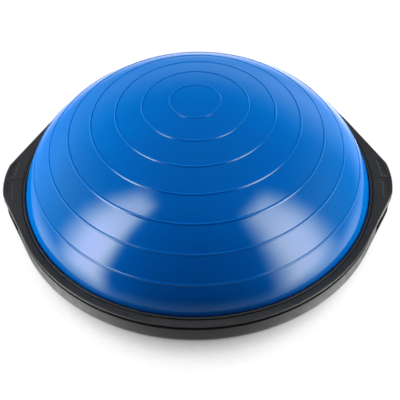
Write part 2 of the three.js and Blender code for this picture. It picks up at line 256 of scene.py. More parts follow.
def combine(obj, tool, operation, sharp_degrees=35):
    """Cuts tool from obj, or joins it on, then removes tool."""
    modifier = obj.modifiers.new("combine", "BOOLEAN")
    modifier.operation = operation
    modifier.object = tool
    modifier.solver = "MANIFOLD"
    bpy.context.view_layer.update()
    graph = bpy.context.evaluated_depsgraph_get()
    mesh = bpy.data.meshes.new_from_object(obj.evaluated_get(graph))
    obj.modifiers.clear()
    old = obj.data
    obj.data = mesh
    bpy.data.meshes.remove(old)
    bpy.data.objects.remove(tool)
    obj.data.name = obj.name
    bm = bmesh.new()
    bm.from_mesh(obj.data)
    bmesh.ops.dissolve_degenerate(bm, edges=bm.edges, dist=TINY_EDGE * MM)
    bm.to_mesh(obj.data)
    bm.free()
    shade(obj, sharp_degrees)


def copies(mesh, prefix, angles, circle):
    """Objects that share one mesh, one at each angle on a circle round the Z axis, numbered from 1."""
    made = []
    for i, angle in enumerate(angles):
        obj = bpy.data.objects.new(f"{prefix}_{i + 1}", mesh)
        bpy.context.scene.collection.objects.link(obj)
        obj.matrix_world = Matrix.Translation(polar(circle, angle) * MM) @ Matrix.Rotation(angle, 4, "Z")
        made.append(obj)
    return made


def even_angles(count, offset):
    """count angles spread evenly over a full turn, from offset on."""
    return [offset + 2 * math.pi * i / count for i in range(count)]


def stand_for(piece, node, finish):
    """Gives a piece its finish and lets it stand for a CAD node."""
    piece.data.materials.clear()
    piece.data.materials.append(finish)
    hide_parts(node)


# ---------------------------------------------------------------- materials

class Nodes:
    """Short ways to build a node tree."""

    def __init__(self, tree):
        self.tree = tree
        tree.nodes.clear()

    def add(self, kind, **settings):
        node = self.tree.nodes.new(kind)
        for key, value in settings.items():
            setattr(node, key, value)
        return node

    def set(self, socket, value):
        if isinstance(value, bpy.types.NodeSocket):
            self.tree.links.new(value, socket)
        else:
            socket.default_value = value

    def math(self, operation, a, b=0.0):
        node = self.add("ShaderNodeMath", operation=operation)
        self.set(node.inputs[0], a)
        self.set(node.inputs[1], b)
        return node.outputs[0]

    def vector(self, operation, *values):
        """The vector that a vector operation gives."""
        node = self.add("ShaderNodeVectorMath", operation=operation)
        for index, value in enumerate(values):
            self.set(node.inputs[index], value)
        return node.outputs[0]

    def ramp(self, value, low, high, out_low=0.0, out_high=1.0):
        """Maps value smoothly from low..high to out_low..out_high."""
        node = self.add("ShaderNodeMapRange", interpolation_type="SMOOTHSTEP")
        for index, item in enumerate((value, low, high, out_low, out_high)):
            self.set(node.inputs[index], item)
        return node.outputs[0]

    def facing(self):
        """0 where a surface is seen face on, 1 where it is seen edge on."""
        return self.add("ShaderNodeLayerWeight").outputs["Facing"]

    def mix_colour(self, factor, a, b):
        """Colour a where factor is 0, b where it is 1."""
        node = self.add("ShaderNodeMix", data_type="RGBA")
        self.set(node.inputs["Factor"], factor)
        self.set(node.inputs[6], a)
        self.set(node.inputs[7], b)
        return node.outputs[2]

    def noise(self, scale, detail=2.0, roughness=0.5):
        """Cloudy values of about 0.5, with scale cycles to the metre."""
        coordinates = self.add("ShaderNodeTexCoord")
        node = self.add("ShaderNodeTexNoise")
        self.set(node.inputs["Vector"], coordinates.outputs["Object"])
        self.set(node.inputs["Scale"], scale)
        self.set(node.inputs["Detail"], detail)
        self.set(node.inputs["Roughness"], roughness)
        return node.outputs["Fac"]

    def bump(self, height, strength, distance, normal=None):
        node = self.add("ShaderNodeBump")
        self.set(node.inputs["Height"], height)
        self.set(node.inputs["Strength"], strength)
        self.set(node.inputs["Distance"], distance)
        if normal is not None:
            self.set(node.inputs["Normal"], normal)
        return node.outputs["Normal"]


def material(name):
    """A new material with its node helper and its surface shader."""
    made = bpy.data.materials.new(name)
    made.use_nodes = True
    nodes = Nodes(made.node_tree)
    shader = nodes.add("ShaderNodeBsdfPrincipled")
    output = nodes.add("ShaderNodeOutputMaterial")
    nodes.set(output.inputs["Surface"], shader.outputs["BSDF"])
    return made, nodes, shader


PVC_DEEP = (0.0, 0.131, 0.465, 1)
PVC_PALE = (0.0, 0.141, 0.495, 1)
BASE_BLACK = (0.042, 0.042, 0.042, 1)
RING_BLACK = (0.048, 0.048, 0.048, 1)
RUBBER_BLACK = (0.012, 0.012, 0.013, 1)
RUBBER_DUST = (0.03, 0.03, 0.03, 1)
STEEL_DARK = (0.42, 0.43, 0.45, 1)
STEEL_PALE = (0.6, 0.6, 0.61, 1)
PLUG_DEEP = (0.003, 0.05, 0.24, 1)
PLUG_PALE = (0.004, 0.06, 0.28, 1)
REFRACTION = 1.5  # of PVC and of moulded plastic


def pvc_material():
    """Glossy soft PVC: deep blue with slow changes of depth, a faint orange peel and slightly uneven gloss.
    The gloss fades where the skin is seen edge on, so that bright lights don't bleach the outline."""
    made, nodes, shader = material("blue_pvc")
    depth = nodes.ramp(nodes.noise(7.0, 3.0), 0.3, 0.7)
    nodes.set(shader.inputs["Base Color"], nodes.mix_colour(depth, PVC_DEEP, PVC_PALE))
    scuffs = nodes.ramp(nodes.noise(120.0, 5.0, 0.65), 0.3, 0.75, 0.10, 0.14)
    nodes.set(shader.inputs["Roughness"], scuffs)
    nodes.set(shader.inputs["IOR"], REFRACTION)
    nodes.set(shader.inputs["Specular IOR Level"], nodes.ramp(nodes.facing(), 0.1, 0.75, 0.9, 0.015))
    peel = nodes.bump(nodes.noise(500.0, 1.0), 0.012, 0.0003)
    waves = nodes.bump(nodes.noise(22.0, 1.0), 0.02, 0.002, peel)
    nodes.set(shader.inputs["Normal"], waves)
    return made


def moulded_plastic(name, colour, roughness, grain):
    """Black moulded plastic: satin, with a fine spark-eroded grain and slightly uneven gloss."""
    made, nodes, shader = material(name)
    patches = nodes.ramp(nodes.noise(14.0, 4.0, 0.6), 0.3, 0.7)
    lighter = (*(1.25 * c for c in colour[:3]), 1)
    nodes.set(shader.inputs["Base Color"], nodes.mix_colour(patches, colour, lighter))
    gloss = nodes.ramp(nodes.noise(60.0, 5.0, 0.7), 0.3, 0.7, roughness - 0.05, roughness + 0.06)
    nodes.set(shader.inputs["Roughness"], gloss)
    nodes.set(shader.inputs["IOR"], REFRACTION)
    nodes.set(shader.inputs["Specular IOR Level"], nodes.ramp(nodes.facing(), 0.6, 0.9, 0.74, 0.05))
    fine = nodes.bump(nodes.noise(1500.0, 2.0), grain, 0.0003)
    nodes.set(shader.inputs["Normal"], fine)
    return made


def rubber_material():
    """Matt black rubber with a little dust in its grain."""
    made, nodes, shader = material("foot_rubber")
    dust = nodes.ramp(nodes.noise(90.0, 5.0, 0.7), 0.45, 0.8)
    nodes.set(shader.inputs["Base Color"], nodes.mix_colour(dust, RUBBER_BLACK, RUBBER_DUST))
    nodes.set(shader.inputs["Roughness"], 0.78)
    nodes.set(shader.inputs["Normal"], nodes.bump(nodes.noise(900.0, 3.0), 0.25, 0.0004))
    return made


def steel_material():
    """Zinc-plated steel, slightly mottled."""
    made, nodes, shader = material("screw_steel")
    mottle = nodes.mix_colour(nodes.noise(300.0, 4.0), STEEL_DARK, STEEL_PALE)
    nodes.set(shader.inputs["Base Color"], mottle)
    nodes.set(shader.inputs["Metallic"], 1.0)
    nodes.set(shader.inputs["Roughness"], nodes.ramp(nodes.noise(700.0, 4.0), 0.3, 0.7, 0.28, 0.42))
    return made


def plug_material():
    """Soft dark blue plastic."""
    made, nodes, shader = material("plug_plastic")
    nodes.set(shader.inputs["Base Color"], nodes.mix_colour(nodes.noise(50.0, 3.0), PLUG_DEEP, PLUG_PALE))
    nodes.set(shader.inputs["Roughness"], 0.42)
    nodes.set(shader.inputs["Normal"], nodes.bump(nodes.noise(1200.0, 2.0), 0.1, 0.0003))
    return made


# ---------------------------------------------------------------- dome

CROWN_RADIUS, CROWN_END = 362, math.radians(28.4)  # the outline is three arcs that run into each other
SHOULDER_RADIUS, SHOULDER_END = 260.5, math.radians(52.6)
RIM_RADIUS = 122.5
DOME_RIM_Z = 36  # where the dome goes down behind the clamp ring
BEAD_TOP = 31
BEAD_EDGE = 1.2  # rounding of the clamped bead's edges
FLOOR_RADIUS = DOME_HIGH.x - 12  # plain middle of the dome's floor
PLAIN_STOPS = 66  # stops along the plain skin
WAVE_LENGTH = 55  # of the slow waves in the skin
CROWN_WAVES = 0.10
RIM_WAVES = 0.42
RIDGE_COUNT = 7
RIDGE_FIRST = 38.5  # along the skin from the middle of the crown to the first raised ring
RIDGE_PITCH = 42.9  # along the skin from one raised ring to the next
RIDGE_WIDTH = 4.2
RIDGE_HEIGHT = 0.85
RIDGE_REACH = 0.6 * RIDGE_WIDTH  # how far the closer stops go to each side of a raised ring
VALVE_TILT = math.radians(20)
VALVE_PAD = 0.8  # the valve's flat face stands this far out
VALVE_BOSS_RADIUS = 10
VALVE_BOSS_ROOT = 4  # how far the boss goes down into the skin
VALVE_HOLE_RADIUS = 4.5
VALVE_DEPTH = 20  # of the blind hole, which is deeper than the plug's stem is long
PLUG_STEM = 18
PLUG_HEAD_RADIUS = 7.5


def along(centre, distance, angle):
    """A point at a distance from a centre (r, z), at an angle from straight up."""
    return (centre[0] + distance * math.sin(angle), centre[1] + distance * math.cos(angle))


CROWN = (0.0, DOME_HIGH.z - CROWN_RADIUS)
SHOULDER = along(CROWN, CROWN_RADIUS - SHOULDER_RADIUS, CROWN_END)
RIM = along(SHOULDER, SHOULDER_RADIUS - RIM_RADIUS, SHOULDER_END)
RIM_END = math.acos((DOME_RIM_Z - RIM[1]) / RIM_RADIUS)
ARCS = (
    (CROWN, CROWN_RADIUS, 0.0, CROWN_END),
    (SHOULDER, SHOULDER_RADIUS, CROWN_END, SHOULDER_END),
    (RIM, RIM_RADIUS, SHOULDER_END, RIM_END),
)
SKIN_LENGTH = sum(radius * (end - start) for _, radius, start, end in ARCS)


def skin_point(distance):
    """(r, z, angle of the normal from straight up) at a distance along the skin from the crown's middle."""
    for centre, radius, start, end in ARCS:
        if distance <= radius * (end - start) or end == RIM_END:
            angle = start + distance / radius
            return (*along(centre, radius, angle), angle)
        distance -= radius * (end - start)


def ridge_height(distance):
    """Height of the raised rings above the plain skin: a round-topped bead with a soft foot."""
    nearest = round((distance - RIDGE_FIRST) / RIDGE_PITCH)
    nearest = min(max(nearest, 0), RIDGE_COUNT - 1)
    off = abs(distance - RIDGE_FIRST - nearest * RIDGE_PITCH) / (RIDGE_WIDTH / 2)
    return RIDGE_HEIGHT * (1 - smooth(off, 0.15, 1.0)) if off < 1 else 0.0


def skin_distances():
    """Stops along the skin: about 5 mm apart on the plain skin and much closer across each raised ring."""
    ridges = [RIDGE_FIRST + k * RIDGE_PITCH for k in range(RIDGE_COUNT)]
    stops = set()
    for middle in ridges:
        stops.update(round(middle + RIDGE_REACH * (i / 6 - 1), 3) for i in range(13))
    plain = [SKIN_LENGTH * i / PLAIN_STOPS for i in range(1, PLAIN_STOPS + 1)]
    stops.update(round(d, 3) for d in plain if all(abs(d - m) > RIDGE_REACH + 1 for m in ridges))
    return sorted(stops)


def dome_profile():
    """The dome's closed outline from the middle of its floor, round the clamped bead and up to the crown."""
    bead_in = RIM[0] + math.sqrt(RIM_RADIUS ** 2 - (DOME_RIM_Z - RIM[1]) ** 2) - GAP
    bead = rounded([
        (FLOOR_RADIUS, DOME_LOW.z, 0),
        (DOME_HIGH.x, DOME_LOW.z, BEAD_EDGE),
        (DOME_HIGH.x, BEAD_TOP, BEAD_EDGE),
        (bead_in, BEAD_TOP, 0),
    ])
    floor = [(r, DOME_LOW.z) for r in steps(0, FLOOR_RADIUS, 12)]
    outer = []
    for distance in reversed(skin_distances()):
        r, z, angle = skin_point(distance)
        height = ridge_height(distance)
        outer.append((r + height * math.sin(angle), z + height * math.cos(angle)))
    return floor + bead + outer + [(0.0, DOME_HIGH.z)]


def settle_skin(obj):
    """The inflated skin isn't perfect: it carries slow waves, strongest just above the clamp."""
    for vertex in obj.data.vertices:
        x, y, z = vertex.co / MM
        r = math.hypot(x, y)
        if z < DOME_RIM_Z or r < 1:
            continue
        near_rim = smooth(z, DOME_RIM_Z, DOME_RIM_Z + 22) * (1 - smooth(z, 70, 130))
        position = Vector((x, y, z)) / WAVE_LENGTH
        amount = CROWN_WAVES * noise.noise(position * 0.6) + RIM_WAVES * near_rim * noise.noise(position)
        outward = Vector((x, y, 0.35 * r)).normalized()
        vertex.co += outward * amount * MM


def valve_frame():
    """Where the valve's flat face is, with +Z out along its axis."""
    y, z = along(RIM, RIM_RADIUS + VALVE_PAD, math.pi / 2 - VALVE_TILT)
    return Matrix.Translation(Vector((0, y, z)) * MM) @ Matrix.Rotation(VALVE_TILT - math.pi / 2, 4, "X")


def boss_profile():
    """The valve's boss: a flat face with a softened edge that flares out where it meets the skin."""
    return [
        (0, -VALVE_BOSS_ROOT),
        (VALVE_BOSS_RADIUS + 1.4, -VALVE_BOSS_ROOT),
        (VALVE_BOSS_RADIUS, -0.2),
        (VALVE_BOSS_RADIUS - 0.4, 0),
        (0, 0),
    ]


def pin_profile(radius, low, high):
    """A plain round pin, used to cut holes and to add sockets."""
    return [(0, low), (radius, low), (radius, high), (0, high)]


def make_dome():
    """The inflated skin with its raised rings, the valve's boss and the hole for the plug."""
    dome = turned("dome_skin", dome_profile(), 288, 50)
    settle_skin(dome)
    boss = turned("boss", boss_profile(), 48)
    boss.matrix_world = valve_frame()
    combine(dome, boss, "UNION", 50)
    hole = turned("hole", pin_profile(VALVE_HOLE_RADIUS, -VALVE_DEPTH, 1), 40)
    hole.matrix_world = valve_frame()
    combine(dome, hole, "DIFFERENCE", 50)
    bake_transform(dome)
    stand_for(dome, "dome_bladder", pvc_material())


def plug_profile():
    """From the stem's tip, past two sealing rings and up over the head's finger rim to its small button."""
    head = PLUG_HEAD_RADIUS
    stem = VALVE_HOLE_RADIUS - GAP
    tip = [(0, -PLUG_STEM, 0), (3.0, -PLUG_STEM, 0.8), (stem - 0.5, -12, 0.5)]
    sealing_rings = [
        (stem, -10.5, 0.3), (stem - 0.6, -9, 0.3), (stem - 0.6, -6.5, 0.3), (stem, -5, 0.3),
        (stem - 0.4, -3.5, 0.3), (stem, -0.8, 0.2), (stem, 0, 0.1),
    ]
    finger_rim = [
        (head - 0.3, 0, 0.3), (head, 1.2, 0.6), (head - 0.9, 2.4, 0.5), (head - 2.2, 2.4, 0.4),
        (head - 3.0, 1.5, 0.5),
    ]
    button = [(2.2, 1.5, 0.4), (1.8, 2.1, 0.4), (0, 2.1, 0)]
    return rounded(tip + sealing_rings + finger_rim + button)


def make_plug():
    """Push-in plug: a round head with a finger rim, and a stem with two sealing rings."""
    plug = turned("valve_plug_moulding", plug_profile(), 64)
    plug.matrix_world = valve_frame() @ Matrix.Translation((0, 0, GAP * MM))
    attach(plug, "plug")
    stand_for(plug, "valve_plug", plug_material())


# ---------------------------------------------------------------- where screws and feet go

BELOW = -5  # cutters start here, clear of the underside
SCREW_COUNT = 16
SCREW_CIRCLE = 286.6
SCREW_RADIUS = 2
FOOT_COUNT = 8
FOOT_CIRCLE = 250
FOOT_RADIUS = 15
FOOT_STEM_RADIUS = 5
SCREW_ANGLES = even_angles(SCREW_COUNT, math.pi / SCREW_COUNT)
FOOT_ANGLES = even_angles(FOOT_COUNT, math.pi / FOOT_COUNT)


def round_pins(radius, low, high, angles, circle):
    """One object made of upright round pins, one at each angle on a circle."""
    pin = turned("pin", pin_profile(radius, low, high), 32)
    pins = copies(pin.data, "pin_copy", angles, circle)
    bpy.context.view_layer.update()
    bpy.data.objects.remove(pin)
    return joined(pins, "pins")


# ---------------------------------------------------------------- clamp ring

RING_INNER = 279.4
RING_SEAT_Z = 26.8
RING_BAND_TOP = 34.8
RING_BODY_OUTER = 291  # floor of the shadow gap, and inner side of the hollow under each grip
RING_CEILING = 32.4  # underside of the top plate outside the ring's body
RING_RIM_BOTTOM = 32.2  # bottom of the outer lip round the rim
RING_RECESS_BOTTOM = 27.2  # its bottom at the ends of the finger recesses
RING_LIP_THICKNESS = 3
RING_EDGE = 1.3  # rounding of the band's outer edge
LIP_DROP_START, LIP_DROP_END, LIP_RISE_END = 13, 18.9, 33  # degrees from the X axis where the lip climbs
INNER_LIP_WIDTH = 3.8  # the raised lip next to the dome
GROOVE_Z = 32.8
GROOVE_START, GROOVE_END = 4.2, 5.7  # the groove's floor, counted out from the ring's inner edge
BAND_START = 6.1
PLATE_POINTS = 30
BEAD_POCKET = 284.2
PANEL_DEPTH = 0.9
PANEL_INNER = 300.5
PANEL_OUTER = 6.0  # the sunk panel ends this far inside the grip's outline
SEAM = math.radians(0.012)  # half the gap between the two half rings
SEAM_BEVEL = 0.4

ring_outline = GripOutline(RING_HIGH.y, RING_HIGH.x)


def panel_depth(r, angle, outer):
    """The shallow sunk panel on each half of a grip's top."""
    a = math.degrees(folded(angle))
    across = smooth(r, PANEL_INNER, PANEL_INNER + 1.5)
    across *= 1 - smooth(r, outer - PANEL_OUTER - 1.5, outer - PANEL_OUTER)
    round_way = smooth(a, 0.8, 1.1) * (1 - smooth(a, 7.6, 8.6))
    return PANEL_DEPTH * across * round_way


def lip_bottom(angle):
    """The outer lip hangs lowest along the grips and climbs to leave a shadow gap round the rim."""
    a = math.degrees(folded(angle))
    near_grip = lerp(RING_LOW.z, RING_RECESS_BOTTOM, smooth(a, LIP_DROP_START, LIP_DROP_END))
    return lerp(near_grip, RING_RIM_BOTTOM, smooth(a, LIP_DROP_END, LIP_RISE_END))


def ring_section(angle):
    """Inner lip, groove, flat band with its sunk panel, outer lip, hollow underside and bead pocket."""
    outer = ring_outline.radius(angle)
    lip_z = lip_bottom(angle)
    inner = rounded([
        (RING_INNER, BEAD_TOP + GAP, 0.4),
        (RING_INNER, RING_HIGH.z, 1.0),
        (RING_INNER + INNER_LIP_WIDTH, RING_HIGH.z, 0.7),
        (RING_INNER + GROOVE_START, GROOVE_Z, 0.3),
        (RING_INNER + GROOVE_END, GROOVE_Z, 0.3),
        (RING_INNER + BAND_START, RING_BAND_TOP, 0.6),
    ])
    plate_from = RING_INNER + BAND_START + 0.8
    plate_to = outer - RING_EDGE - 0.2
    plate = []
    for i in range(PLATE_POINTS):
        r = lerp(plate_from, plate_to, i / (PLATE_POINTS - 1))
        plate.append((r, RING_BAND_TOP - panel_depth(r, angle, outer)))
    under = rounded([
        (outer, RING_BAND_TOP, RING_EDGE),
        (outer, lip_z, 0.5),
        (outer - RING_LIP_THICKNESS, lip_z, 0.5),
        (outer - RING_LIP_THICKNESS, RING_CEILING, 0.08),
        (RING_BODY_OUTER, RING_CEILING, 0.3),
        (RING_BODY_OUTER, RING_SEAT_Z, 0.3),
        (BEAD_POCKET, RING_SEAT_Z, 0.2),
        (BEAD_POCKET, BEAD_TOP + GAP, 0.2),
    ], 6)
    return inner + plate + under


def shrunk(section, amount):
    """The section moved inwards by amount, for the bevel at a half ring's end."""
    count = len(section)
    moved = []
    for i, point in enumerate(section):
        ahead = Vector(section[(i + 2) % count]) - Vector(section[i - 2])
        inward = Vector((ahead.y, -ahead.x)).normalized()
        moved.append((point[0] + inward.x * amount, point[1] + inward.y * amount))
    return moved


def make_half_ring(name, start, node, finish):
    """One half of the clamp ring, from the seam at angle start to the seam half a turn on."""
    bevel = SEAM_BEVEL / RING_HIGH.x
    inner_angles = sweep_angles(SEAM + bevel, math.pi - SEAM - bevel, 0.3, 1.0)
    angles = [start + SEAM] + [start + a for a in inner_angles] + [start + math.pi - SEAM]
    ends = (angles[0], angles[-1])

    def section(angle):
        plain = ring_section(angle)
        return shrunk(plain, SEAM_BEVEL) if angle in ends else plain

    half = swept(name, angles, section, False, 32)
    screw_holes = round_pins(SCREW_RADIUS + GAP, BELOW, SCREW_HIGH.z + GAP, SCREW_ANGLES, SCREW_CIRCLE)
    combine(half, screw_holes, "DIFFERENCE", 32)
    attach(half, "base")
    stand_for(half, node, finish)


# ---------------------------------------------------------------- platform

WELL_RADIUS = 272  # inside of the platform's thick rim
HUB_RADIUS = 8
CORE_RADIUS = 20  # the swept body stops here, and a disc fills the middle
DECK_TOP_Z = 7
RIB_HALF = 1.5
RIB_COUNT = 8
RING_RIBS = (90, 180)
ABOVE = 40  # cutters end here, clear of the platform's top
RECESS_CUT_TOP = 30
SCREW_WELL_RADIUS = 4.4
SCREW_WELL_TOP = 19
SOCKET_RADIUS = 8
SOCKET_TOP = 12.3
GROOVE_RADII = (60, 110, 160, 210)  # shallow rings in the underside
GROOVE_DEPTH = 0.8

platform_outline = GripOutline(PLATFORM_HIGH.y, PLATFORM_HIGH.x)


def platform_section(angle):
    """The platform's outer body before anything is cut from it."""
    outer = platform_outline.radius(angle)
    return rounded([
        (CORE_RADIUS, PLATFORM_LOW.z, 0),
        (outer, PLATFORM_LOW.z, 1.0),
        (outer, PLATFORM_HIGH.z, 0.8),
        (CORE_RADIUS, PLATFORM_HIGH.z, 0),
    ], 6)


def pocket(inner, outer, start, end):
    """The air space between two radial ribs and two ring ribs. The ribs keep their thickness."""
    section = [(inner, DECK_TOP_Z), (outer, DECK_TOP_Z), (outer, ABOVE), (inner, ABOVE)]
    bm = bmesh.new()
    rows = []
    count = 14
    for i in range(count + 1):
        row = []
        for r, z in section:
            margin = math.asin(RIB_HALF / r)
            angle = lerp(start + margin, end - margin, i / count)
            row.append(bm.verts.new(polar(r, angle, z) * MM))
        rows.append(row)
    skin(bm, rows, False, True)
    bm.faces.new(rows[0])
    bm.faces.new(reversed(rows[-1]))
    return finish_mesh(bm, "pocket")


def platform_pockets():
    """All the air spaces between the ribs, as one cutter."""
    radii = [HUB_RADIUS, *RING_RIBS, WELL_RADIUS]
    made = []
    for inner, outer in zip(radii, radii[1:]):
        for angle in even_angles(RIB_COUNT, 0):
            near = inner + (RIB_HALF if inner > HUB_RADIUS else 6)
            far = outer - (RIB_HALF if outer < WELL_RADIUS else 0)
            made.append(pocket(near, far, angle, angle + 2 * math.pi / RIB_COUNT))
    return joined(made, "pockets")


def grip_recess(middle):
    """The finger recess under a grip, with its inner corners rounded."""
    angles = [middle + lerp(-RECESS_ANGLE, RECESS_ANGLE, i / 60) for i in range(61)]
    reach = PLATFORM_HIGH.x + 20

    def section(angle):
        off = abs(math.degrees(angle - middle)) / math.degrees(RECESS_ANGLE)
        inner = RECESS_INNER + 2.2 * smooth(off, 0.9, 1.0)
        return rounded([
            (inner, DECK_TOP_Z, 1.5),
            (reach, DECK_TOP_Z, 0),
            (reach, RECESS_CUT_TOP, 0),
            (inner, RECESS_CUT_TOP, 0),
        ])

    return swept("recess", angles, section, False)


def underside_groove(radius):
    """A cutter for a shallow ring groove with sloping sides."""
    floor_z = PLATFORM_LOW.z + GROOVE_DEPTH

    def section(_):
        return [(radius - 1.5, -2), (radius + 1.5, -2), (radius + 0.8, floor_z), (radius - 0.8, floor_z)]

    return swept("groove", even_angles(160, 0), section, True)


def make_platform(finish):
    """The base moulding: rim, ribbed inside, finger recesses, foot sockets, screw holes and grooves."""
    low, high = PLATFORM_LOW.z, PLATFORM_HIGH.z
    angles = sweep_angles(0, 2 * math.pi, 0.5, 1.25)[:-1]
    base = swept("platform_moulding", angles, platform_section, True)
    combine(base, turned("disc", pin_profile(CORE_RADIUS + 0.4, low, high), 96), "UNION")
    combine(base, platform_pockets(), "DIFFERENCE")
    combine(base, joined([grip_recess(0), grip_recess(math.pi)], "recesses"), "DIFFERENCE")
    sockets = round_pins(SOCKET_RADIUS, low + 1, SOCKET_TOP, FOOT_ANGLES, FOOT_CIRCLE)
    combine(base, sockets, "UNION")
    for radius, top, places, circle in (
        (FOOT_STEM_RADIUS + GAP, FOOT_HIGH.z + GAP, FOOT_ANGLES, FOOT_CIRCLE),
        (SCREW_WELL_RADIUS, SCREW_WELL_TOP, SCREW_ANGLES, SCREW_CIRCLE),
        (SCREW_RADIUS + GAP, ABOVE, SCREW_ANGLES, SCREW_CIRCLE),
    ):
        combine(base, round_pins(radius, BELOW, top, places, circle), "DIFFERENCE")
    grooves = [underside_groove(radius) for radius in GROOVE_RADII]
    combine(base, joined(grooves, "grooves"), "DIFFERENCE")
    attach(base, "base")
    stand_for(base, "platform", finish)


# ---------------------------------------------------------------- screws and feet

HEAD_RADIUS = 3.8
HEAD_THICKNESS = 2.6
TIP_LENGTH = 3
RECESS_DEPTH = 1.7  # of the cross recess in a screw's head
BAR_FLATTENING = 0.22  # how narrow a bar of the cross is beside its length
SOLE_GROOVES = (4.4, 9.4)  # inner radius of each grip ring in a foot's sole
SOLE_GROOVE_DEPTH = 0.8


def screw_profile():
    """A pan head at the bottom, the shank and a pointed tip at the top."""
    low, tip = SCREW_LOW.z, SCREW_HIGH.z
    head_top = low + HEAD_THICKNESS
    return rounded([
        (0, low, 0),
        (3.0, low, 1.0),
        (HEAD_RADIUS, low + 1.2, 0.6),
        (HEAD_RADIUS, head_top, 0.2),
        (SCREW_RADIUS, head_top, 0.2),
        (SCREW_RADIUS, tip - TIP_LENGTH, 0.3),
        (0, tip, 0),
    ])


def make_screws(finish):
    """Pan-head self-tapping screws with a cross recess, heads down in their wells."""
    screw = turned("screw_master", screw_profile(), 32)
    mouth = SCREW_LOW.z - 1
    floor_z = SCREW_LOW.z + RECESS_DEPTH
    bars = []
    for turn in (0, math.pi / 2):
        bar = turned("bar", [(0, mouth), (3.2, mouth), (0.5, floor_z), (0, floor_z)], 4)
        bar.matrix_world = Matrix.Rotation(turn, 4, "Z") @ Matrix.Diagonal((1, BAR_FLATTENING, 1, 1))
        bars.append(bar)
    bpy.context.view_layer.update()
    for bar in bars:
        combine(screw, bar, "DIFFERENCE")
    made = copies(screw.data, "screw", SCREW_ANGLES, SCREW_CIRCLE)
    bpy.data.objects.remove(screw)
    for i, obj in enumerate(made):
        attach(obj, "base")
        stand_for(obj, f"clamp_screw_{i + 1:02d}", finish)


def make_feet(finish):
    """Round rubber feet with two grip rings in their soles and a stem pressed into the platform."""
    sole, top = FOOT_LOW.z, PLATFORM_LOW.z - GAP
    corners = [(0, sole, 0)]
    for start in SOLE_GROOVES:
        corners += [
            (start, sole, 0.2),
            (start + 0.4, sole + SOLE_GROOVE_DEPTH, 0.2),
            (start + 1.8, sole + SOLE_GROOVE_DEPTH, 0.2),
            (start + 2.2, sole, 0.2),
        ]
    corners += [
        (FOOT_RADIUS, sole, 0.9),
        (FOOT_RADIUS, top, 0.4),
        (FOOT_STEM_RADIUS, top, 0.2),
        (FOOT_STEM_RADIUS, FOOT_HIGH.z, 0.8),
        (0, FOOT_HIGH.z, 0),
    ]
    foot = turned("foot_master", rounded(corners, 3), 64)
    made = copies(foot.data, "foot_pad", FOOT_ANGLES, FOOT_CIRCLE)
    bpy.data.objects.remove(foot)
    for i, obj in enumerate(made):
        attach(obj, "base")
        stand_for(obj, f"foot_{i + 1}", finish)


# ---------------------------------------------------------------- studio

# Lengths here are in metres, and the strengths of the lights are plain factors.
FLOOR_HALF = 6.0
FLOOR_FADE = (0.8, 2.4)  # the floor turns from white to the backdrop's grey between these distances
FLOOR_WHITE = (1.02, 1.02, 1.03, 1)
FAR_WHITE = (0.70, 0.705, 0.72, 1)  # the far floor and the backdrop
# The floor's shadow is painted: a dark colour is mixed into the floor's own glow where ambient occlusion
# finds things standing on it.
PAINTED_SHADOW_COLOUR = (0.06, 0.06, 0.063, 1)
SHADOW_REACH = 0.09
SHADOW_LEAN = (0, 0.75, 0.66)  # the side that the painted shadow is cast from: above and behind
SHADOW_SPREAD = (2.6, 0, 0)  # how fast that side turns outwards to the left and right
LEFT_BOX = 6.3
RIGHT_BOX = 5.6
BACKDROP = 1.95
FLOOR_BEHIND = 1.6
FLOOR_FRONT = 0.55
FLOOR_SIDES = 2.4
DARK_ROOM = 0.015
LEFT_GLOW = 8.4
RIGHT_GLOW = 7.8
TOP_GLOW = 1.5
ROOM_FILL = 0.03
FRONT_LEVEL = 0.59  # the room before the dome is darker than the room behind it
BACK_LEVEL = 1.05
TONE_CURVE = ((0.014, 0.005), (0.045, 0.027), (0.13, 0.102), (0.45, 0.42), (0.75, 0.68))  # scene, shown
CAMERA_RISE = math.radians(46.16)
CAMERA_TURN = math.radians(1.57)  # to the right of straight in front
CAMERA_LEAN = math.radians(-1.3)  # the horizon leans a little
CAMERA_DISTANCE = 1.495
CAMERA_AIM_Z = -0.0158
CAMERA_AIM_RIGHT = 0.0038
CAMERA_LENS, CAMERA_SENSOR = 80.15, 36  # in millimetres


def floor_material():
    """Pale paper with an even light of its own. Its shadow is painted: ambient occlusion from what stands on
    it darkens the paper's own glow softly, most in front. Seen from below it is clear, so that the underside
    can be looked at."""
    made = bpy.data.materials.new("pale_floor")
    made.use_nodes = True
    nodes = Nodes(made.node_tree)
    place = nodes.add("ShaderNodeTexCoord").outputs["Object"]
    towards_light = nodes.vector("MULTIPLY_ADD", place, SHADOW_SPREAD, SHADOW_LEAN)
    painted_shadow = nodes.add("ShaderNodeAmbientOcclusion", samples=8)
    nodes.set(painted_shadow.inputs["Distance"], SHADOW_REACH)
    nodes.set(painted_shadow.inputs["Normal"], nodes.vector("NORMALIZE", towards_light))
    paper = nodes.add("ShaderNodeEmission")
    far = nodes.add("ShaderNodeVectorMath", operation="LENGTH")
    nodes.set(far.inputs[0], place)
    plain = nodes.mix_colour(nodes.ramp(far.outputs["Value"], *FLOOR_FADE), FLOOR_WHITE, FAR_WHITE)
    # painted shadow: the floor's glow darkens towards the painted shadow colour near what stands on it
    shaded = nodes.mix_colour(nodes.ramp(painted_shadow.outputs["AO"], 0.05, 0.8), PAINTED_SHADOW_COLOUR, plain)
    nodes.set(paper.inputs["Color"], shaded)
    from_above = nodes.add("ShaderNodeMixShader")
    nodes.set(from_above.inputs[0], nodes.add("ShaderNodeNewGeometry").outputs["Backfacing"])
    nodes.set(from_above.inputs[1], paper.outputs[0])
    nodes.set(from_above.inputs[2], nodes.add("ShaderNodeBsdfTransparent").outputs[0])
    nodes.set(nodes.add("ShaderNodeOutputMaterial").inputs["Surface"], from_above.outputs[0])
    return made


